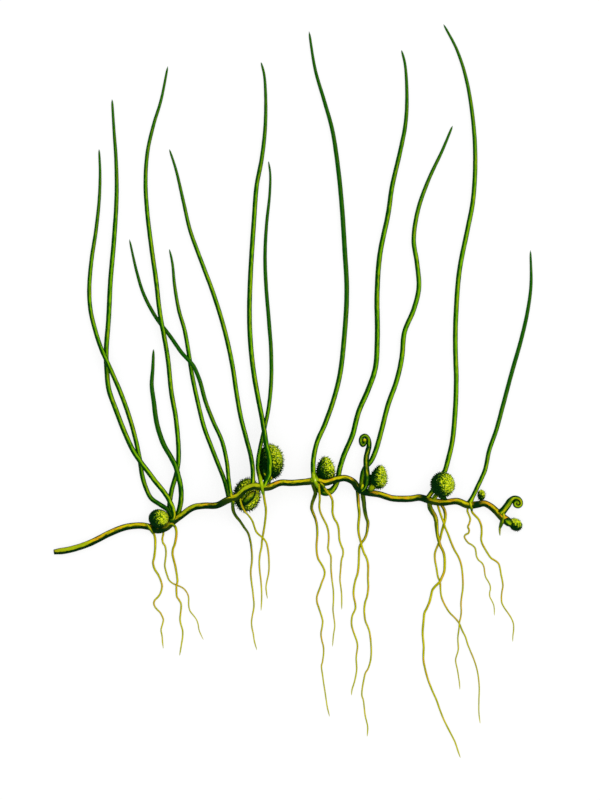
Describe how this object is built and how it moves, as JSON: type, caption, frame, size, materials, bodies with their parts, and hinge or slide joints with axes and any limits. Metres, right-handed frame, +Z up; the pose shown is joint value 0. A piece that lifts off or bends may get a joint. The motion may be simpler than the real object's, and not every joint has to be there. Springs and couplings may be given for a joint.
{
  "type": "pillwort",
  "caption": "Whole pillwort, an aquarium plant, lying flat: a creeping stem with thin round leaves, two curled young leaves, hairy round pills and long wavy roots.",
  "frame": {"origin": "on the surface the plant lies on, under the middle of its box", "axes": "+Y towards the leaf tips, +X along the creeping stem to its growing end, +Z up from the surface"},
  "size_m": [0.0719, 0.1102, 0.0046],
  "materials": {
    "stem": "satin living stem, golden olive above, dark green below",
    "leaf": "satin fresh leaf, bright green along the top, dark green at the sides",
    "young_leaf": "satin young leaf, yellow green",
    "pill": "matt, covered with short pale hairs",
    "root": "satin thin root, yellow olive"
  },
  "bodies": {
    "root": {"rhizome": "stem", "leaf_01": "leaf", "leaf_02": "leaf", "leaf_03": "leaf", "leaf_04": "leaf", "leaf_05": "leaf", "leaf_06": "leaf", "leaf_07": "leaf", "leaf_08": "leaf", "leaf_09": "leaf", "leaf_10": "leaf", "leaf_11": "leaf", "leaf_12": "leaf", "leaf_13": "leaf", "leaf_14": "leaf", "young_leaf_1": "young_leaf", "young_leaf_2": "young_leaf", "sporocarp_1": "pill", "sporocarp_2": "pill", "sporocarp_3": "pill", "sporocarp_4": "pill", "sporocarp_5": "pill", "sporocarp_6": "pill", "sporocarp_7": "pill", "terminal_bud": "pill", "root_01": "root", "root_02": "root", "root_03": "root", "root_04": "root", "root_05": "root", "root_06": "root", "root_07": "root", "root_08": "root", "root_09": "root", "root_10": "root", "root_11": "root", "root_12": "root", "root_13": "root", "root_14": "root", "root_15": "root", "root_16": "root", "root_17": "root"}
  },
  "joints": []
}
